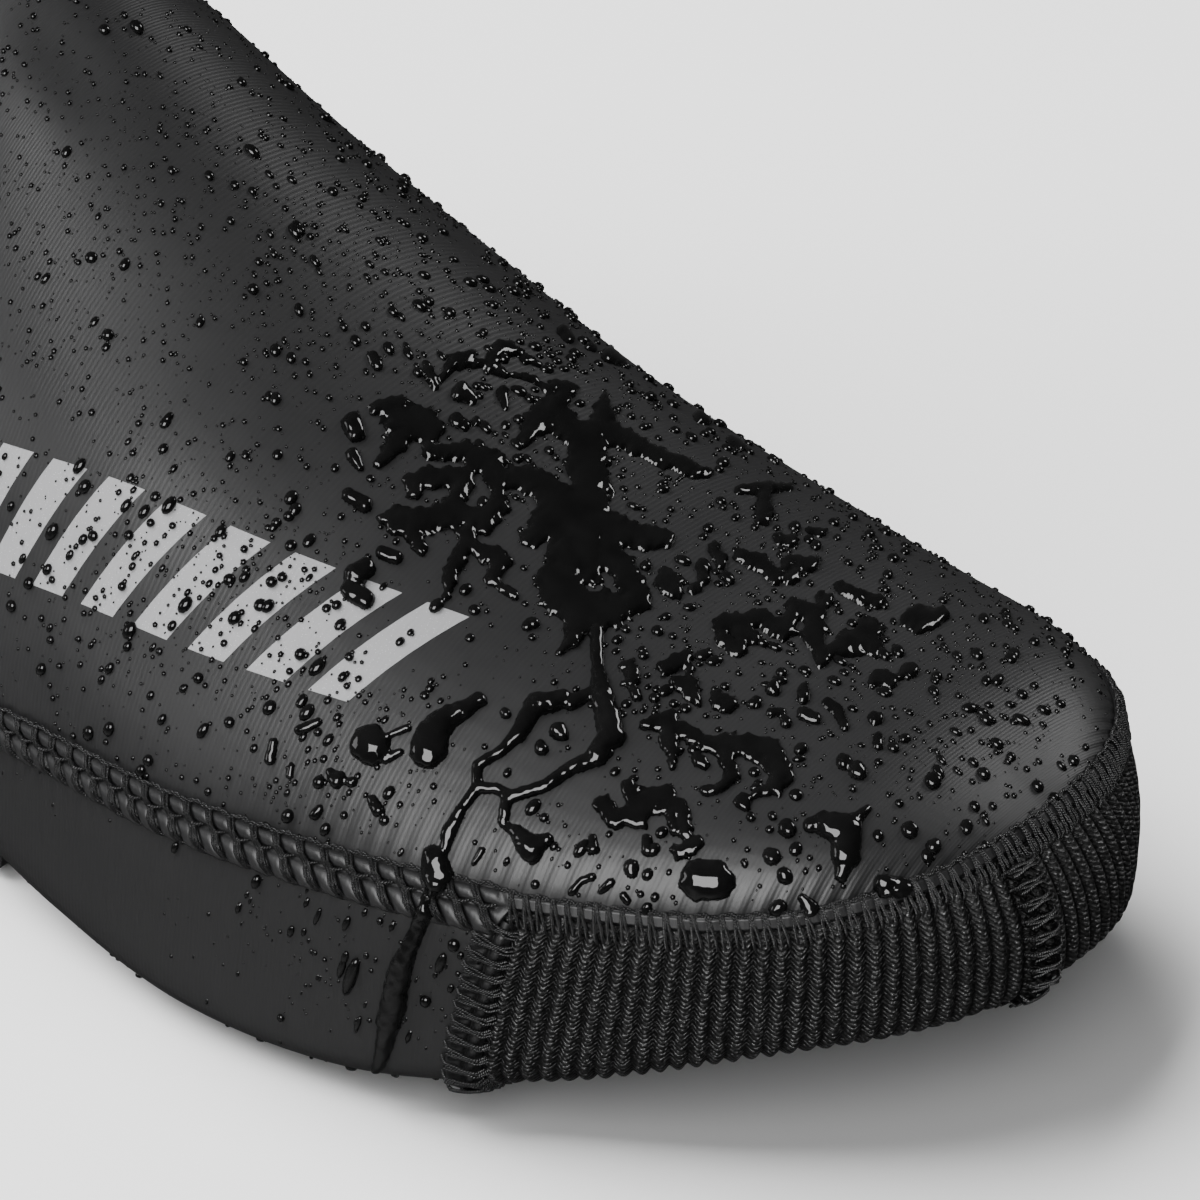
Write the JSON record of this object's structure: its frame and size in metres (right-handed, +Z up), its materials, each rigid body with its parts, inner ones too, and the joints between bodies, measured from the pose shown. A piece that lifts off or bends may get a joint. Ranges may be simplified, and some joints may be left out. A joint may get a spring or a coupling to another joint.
{
  "type": "cycling overshoe",
  "caption": "Neoprene overshoe for a right cycling shoe: hollow bootie with raised side seam, ribbed toe guard, collar hem and openings under ball and heel.",
  "frame": {"origin": "on the floor, under the middle of the overshoe's bounding box", "axes": "+X to the toe, +Y to the inner side of the foot, +Z up"},
  "size_m": [0.2938, 0.1108, 0.2192],
  "materials": {
    "coated_neoprene": "satin coated, fine diagonal grain, wet",
    "smooth_neoprene": "matte smooth",
    "ribbed_knit": "coarse vertical ribs",
    "sole_fabric": "close weave",
    "loop_fabric": "fuzzy loops",
    "seam_thread": "overlocked thread"
  },
  "bodies": {
    "root": {"upper": "coated_neoprene", "side_panel_outer": "smooth_neoprene", "side_panel_inner": "smooth_neoprene", "toe_guard_outer": "ribbed_knit", "toe_guard_inner": "ribbed_knit", "sole": "sole_fabric", "arch_strap": "loop_fabric", "side_seam": "seam_thread", "guard_seam_outer": "seam_thread", "guard_seam_inner": "seam_thread", "toe_tip_seam": "seam_thread", "heel_seam": "seam_thread", "back_seam": "seam_thread", "collar_hem": "coated_neoprene"}
  },
  "joints": []
}
